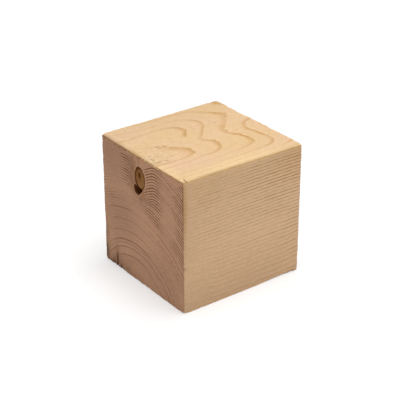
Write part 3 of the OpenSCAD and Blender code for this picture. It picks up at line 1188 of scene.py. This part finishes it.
    ridge = ramp(endGrain, 0.0, 1.0, *relief["ridge"], smooth=False)
    addBump(shader, total(
        product(crisp["Ridge"], strength, ridge),
        product(grain["Nap"], between(endGrain, *relief["nap"])),
        product(grain["Streak"], relief["streak"]), product(grain["Fleck"], relief["fleck"]),
        product(beside, minus(chips, shadedHollows), relief["torn"]), product(nicks, relief["nick"])))
    return material


knotLook = dict(
    ringWidth=0.95 * mm,
    early=(0.355, 0.160, 0.052),
    late=(0.225, 0.090, 0.025),
    core=(0.112, 0.032, 0.003),
    coreWidth=1.8 * mm,
    rim=(0.44, 0.225, 0.085),
    rimFrom=(3.4 * mm, 5.0 * mm),
    fleck=(0.5, 0.4, 0.3),
    roughness=0.6,
    gloss=0.03,
)


def knotMaterial(rings, fibres):
    material, shader, position = newMaterial("knotWood")
    away = vectors("SUBTRACT", position, onFace(*knot["pith"]))
    along = vectors("SCALE", branchIn, vectors("DOT_PRODUCT", away, branchIn))
    fromPith = vectors("LENGTH", vectors("SUBTRACT", away, along))
    line = useGroup(rings, Distance=fromPith, Width=knotLook["ringWidth"], Start=0.1 * mm)["Latewood"]
    fleck = useGroup(fibres, Vector=position, Scale=1.5)["Fleck"]
    colour = blend(product(line, 0.5), knotLook["early"], knotLook["late"])
    core = bell(fromPith, 0.0, knotLook["coreWidth"], 2.2)
    colour = blend(product(core, 0.95), colour, knotLook["core"])
    rim = ramp(fromPith, *knotLook["rimFrom"])
    colour = blend(product(rim, 0.3), colour, knotLook["rim"])
    colour = tinted(colour, 0.3, knotLook["fleck"], fleck)
    finishMaterial(shader, colour, knotLook["roughness"], knotLook["gloss"])
    addBump(shader, total(product(line, 0.05 * mm), product(fleck, 0.06 * mm)))
    return material


flecked = dict(  # wood that lies open in the cracks and the pocket, painted dark as their shade; bark; and loose fibre
    shadedCrackWood=dict(
        dark=(0.078, 0.024, 0.008), light=(0.250, 0.094, 0.032), scale=1.0,
        roughness=0.85, gloss=0.0, nap=0.12 * mm),
    knotBark=dict(
        dark=(0.085, 0.026, 0.005), light=(0.235, 0.095, 0.030), scale=1.2,
        roughness=0.85, gloss=0.0, nap=0.12 * mm),
    looseFibre=dict(
        dark=(0.70, 0.46, 0.26), light=(0.86, 0.64, 0.42), scale=1.0,
        roughness=0.8, gloss=0.5, nap=0.0),
)


def fleckedMaterial(name, fibres):
    look = flecked[name]
    material, shader, position = newMaterial(name)
    fleck = useGroup(fibres, Vector=position, Scale=look["scale"])["Fleck"]
    finishMaterial(shader, blend(fleck, look["dark"], look["light"]), look["roughness"], look["gloss"])
    if look["nap"]:
        addBump(shader, product(fleck, look["nap"]))
    return material


# ---- making it ----

rings, fibres = ringsGroup(), fibresGroup()
pineWood = sawnPine(rings, fibres)
# dark wood inside the cracks and the pocket: painted shade
shadedCrackWood = fleckedMaterial("shadedCrackWood", fibres)
print("materials made")

cube = place("woodenCube", refineArrises(gridBox("woodenCube")))
runTree(cube, blockTree(), {
    "Wear": block["wear"], "Tear": block["tear"], "Waviness": block["waviness"],
    "Ring relief": block["ringRelief"], "Torn depth": block["tornDepth"], "Seed": block["seed"],
    "Material": pineWood,
})
print("block shaped,", len(cube.data.polygons), "faces")

sawFuzz = place("sawFuzz", cube.data.copy())
runTree(sawFuzz, fuzzTree(), {
    "Density": fuzz["density"], "Chip density": fuzz["chipDensity"], "Spread": fuzz["spread"],
    "Length": fuzz["length"], "Thickness": fuzz["thickness"], "Seed": fuzz["seed"],
    "Material": fleckedMaterial("looseFibre", fibres),
})
print("saw fuzz made,", len(sawFuzz.data.polygons), "faces")

# the socket, pocket and cracks take the dark crack wood, painted shade inside them
cutOut(cube, [knotSocket(), pocketCutter()] + crackCutters(), shadedCrackWood)
print("socket and cracks cut,", len(cube.data.polygons), "faces")

plug = place("knotWood", knotPlug())
plug.data.materials.append(knotMaterial(rings, fibres))
barkLayer = place("knotBark", barkRing())
barkLayer.data.materials.append(fleckedMaterial("knotBark", fibres))
print("knot made")

for piece in (cube, plug, barkLayer, sawFuzz):
    piece.data.shade_smooth()
    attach(piece, "root")
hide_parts("wooden_cube")

# ---- floor, light and camera ----

studio = dict(
    sky=0.33,
    sun=2.38,
    sunAngle=math.radians(38),
    sunFrom=(0.08, -0.12, 1.0),
    floorSize=8.0,
    floor=(0.80, 0.80, 0.80),
    floorSeen=(0.55, 0.55, 0.55),
    floorGlow=0.44,
)


def seenByCamera(tree):  # 1 for what the camera sees, also in gloss and through glass
    rays = addNode(tree, "ShaderNodeLightPath").outputs
    return larger(rays["Is Camera Ray"], larger(rays["Is Glossy Ray"], rays["Is Transmission Ray"]))


paper, paperShader = newMaterial("paper")[:2]
paperSeen = seenByCamera(paper.node_tree)
finishMaterial(paperShader, blend(paperSeen, studio["floor"], studio["floorSeen"]), 0.9)
put(paperShader["Emission Color"], (1, 1, 1, 1))
put(paperShader["Emission Strength"], product(paperSeen, studio["floorGlow"]))
reach = studio["floorSize"] / 2
floorCorners = [(-reach, -reach, 0), (reach, -reach, 0), (reach, reach, 0), (-reach, reach, 0)]
floor = place("floor", meshOf("floor", floorCorners, [(0, 1, 2, 3)]))
floor.data.materials.append(paper)

sun = bpy.data.lights.new("softbox", "SUN")
sun.energy = studio["sun"]
sun.angle = studio["sunAngle"]
softbox = place("softbox", sun)
softbox.rotation_euler = Vector(studio["sunFrom"]).to_track_quat("Z", "Y").to_euler()

world = bpy.data.worlds.new("studio")
bpy.context.scene.world = world
world.use_nodes = True
sky = world.node_tree.nodes["Background"].inputs
put(sky["Color"], (1, 1, 1, 1))
put(sky["Strength"], ramp(seenByCamera(world.node_tree), 0.0, 1.0, studio["sky"], 1.0, smooth=False))

view = dict(azimuth=-36.74, elevation=27.35, distance=0.874, lens=111.7, shift=(-0.00265, 0.00685))
azimuth, elevation = math.radians(view["azimuth"]), math.radians(view["elevation"])
back = Vector((
    math.sin(azimuth) * math.cos(elevation), -math.cos(azimuth) * math.cos(elevation), math.sin(elevation)))
lens = bpy.data.cameras.new("camera")
lens.lens = view["lens"]
lens.sensor_width = 36
lens.shift_x, lens.shift_y = view["shift"]
lens.clip_start = 0.01
camera = place("camera", lens)
camera.location = boxMiddle + back * view["distance"]
camera.rotation_euler = back.to_track_quat("Z", "Y").to_euler()
bpy.context.scene.camera = camera
bpy.context.scene.view_settings.view_transform = "Standard"
print("studio set")
